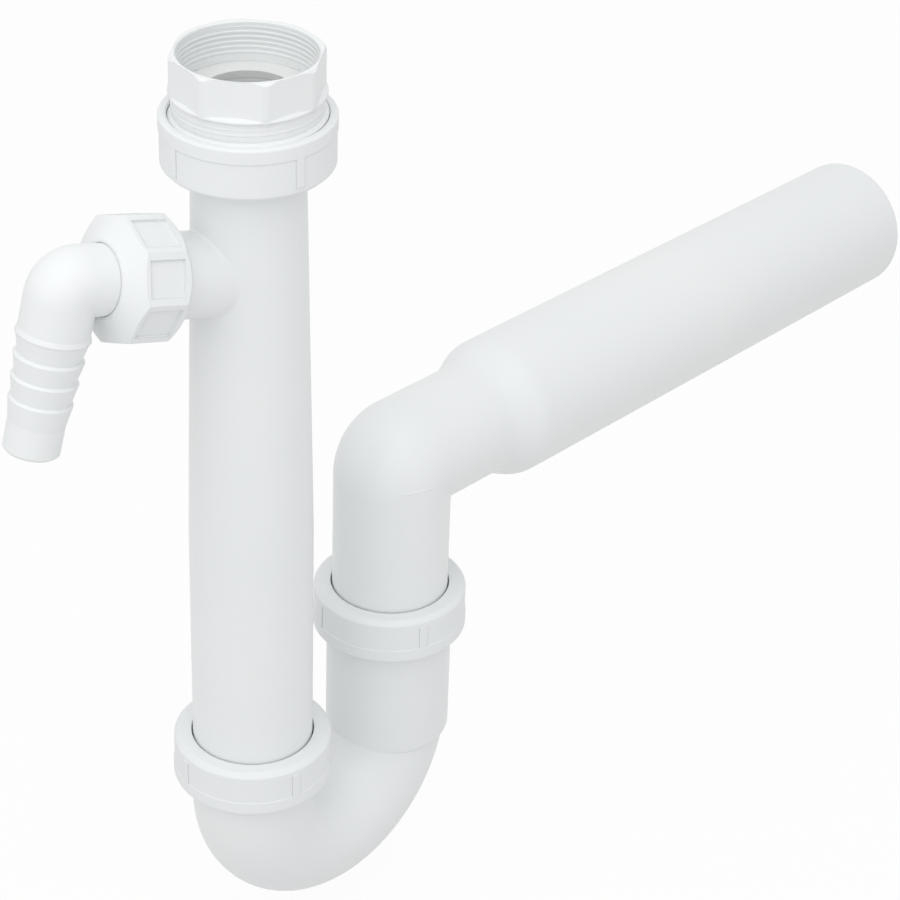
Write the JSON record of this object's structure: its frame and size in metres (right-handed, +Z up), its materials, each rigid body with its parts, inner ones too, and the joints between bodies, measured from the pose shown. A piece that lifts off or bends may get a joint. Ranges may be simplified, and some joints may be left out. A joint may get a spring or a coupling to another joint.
{
  "type": "waste trap",
  "caption": "White plastic tubular waste trap with a threaded inlet, slip-joint U-bend, swivelling outlet elbow and pipe, and a side branch with a barbed hose elbow.",
  "frame": {"origin": "on the inlet thread's axis, at the top of the washer where the mating outlet seats", "axes": "+Z up along the inlet thread and dip tube; +X from the dip tube towards the outlet pipe"},
  "size_m": [0.4251, 0.0563, 0.3279],
  "materials": {
    "white_plastic": "satin moulded polypropylene",
    "tube_plastic": "satin moulded polypropylene",
    "nut_plastic": "satin moulded polypropylene",
    "ring_plastic": "smooth polyethylene",
    "white_seal": "soft white seal",
    "black_rubber": "matte rubber"
  },
  "bodies": {
    "adapter": {"inlet_adapter": "white_plastic", "inlet_washer": "white_seal"},
    "inlet_nut": {"inlet_union_nut": "nut_plastic"},
    "tube": {"inlet_tube": "tube_plastic", "inlet_flange_seal": "black_rubber"},
    "lower_seal": {"lower_friction_ring": "ring_plastic", "lower_taper_seal": "black_rubber"},
    "bend": {"trap_bend": "white_plastic"},
    "lower_nut": {"lower_union_nut": "nut_plastic"},
    "outlet_seal": {"outlet_friction_ring": "ring_plastic", "outlet_taper_seal": "black_rubber"},
    "elbow": {"outlet_elbow": "tube_plastic"},
    "outlet_nut": {"outlet_union_nut": "nut_plastic"},
    "branch_nut": {"branch_union_nut": "nut_plastic"},
    "hose": {"hose_elbow": "white_plastic", "branch_seal": "black_rubber"}
  },
  "joints": [
    {"name": "inlet_nut_turn", "type": "hinge", "parent": "adapter", "child": "inlet_nut", "pos_m": [0, 0, 0], "axis": [0, 0, 1], "continuous": true},
    {"name": "tube_swivel", "type": "hinge", "parent": "adapter", "child": "tube", "pos_m": [0, 0, 0], "axis": [0, 0, 1], "continuous": true},
    {"name": "trap_slide", "type": "slide", "parent": "tube", "child": "lower_seal", "axis": [0, 0, 1], "range_m": [-0.004, 0.002]},
    {"name": "trap_swivel", "type": "hinge", "parent": "lower_seal", "child": "bend", "pos_m": [0, 0, 0], "axis": [0, 0, 1], "continuous": true},
    {"name": "lower_nut_turn", "type": "hinge", "parent": "bend", "child": "lower_nut", "pos_m": [0, 0, 0], "axis": [0, 0, 1], "continuous": true},
    {"name": "outlet_swivel", "type": "hinge", "parent": "bend", "child": "outlet_seal", "pos_m": [0.068, 0, 0], "axis": [0, 0, 1], "range_deg": [-125, 125]},
    {"name": "outlet_slide", "type": "slide", "parent": "outlet_seal", "child": "elbow", "axis": [0, 0, 1], "range_m": [-0.012, 0.01]},
    {"name": "outlet_nut_turn", "type": "hinge", "parent": "bend", "child": "outlet_nut", "pos_m": [0.068, 0, 0], "axis": [0, 0, 1], "continuous": true},
    {"name": "branch_nut_turn", "type": "hinge", "parent": "tube", "child": "branch_nut", "pos_m": [0, 0, -0.0604], "axis": [-0.9474, 0.2014, 0.2487], "continuous": true},
    {"name": "hose_swivel", "type": "hinge", "parent": "tube", "child": "hose", "pos_m": [0, 0, -0.0604], "axis": [-0.9474, 0.2014, 0.2487], "continuous": true}
  ]
}
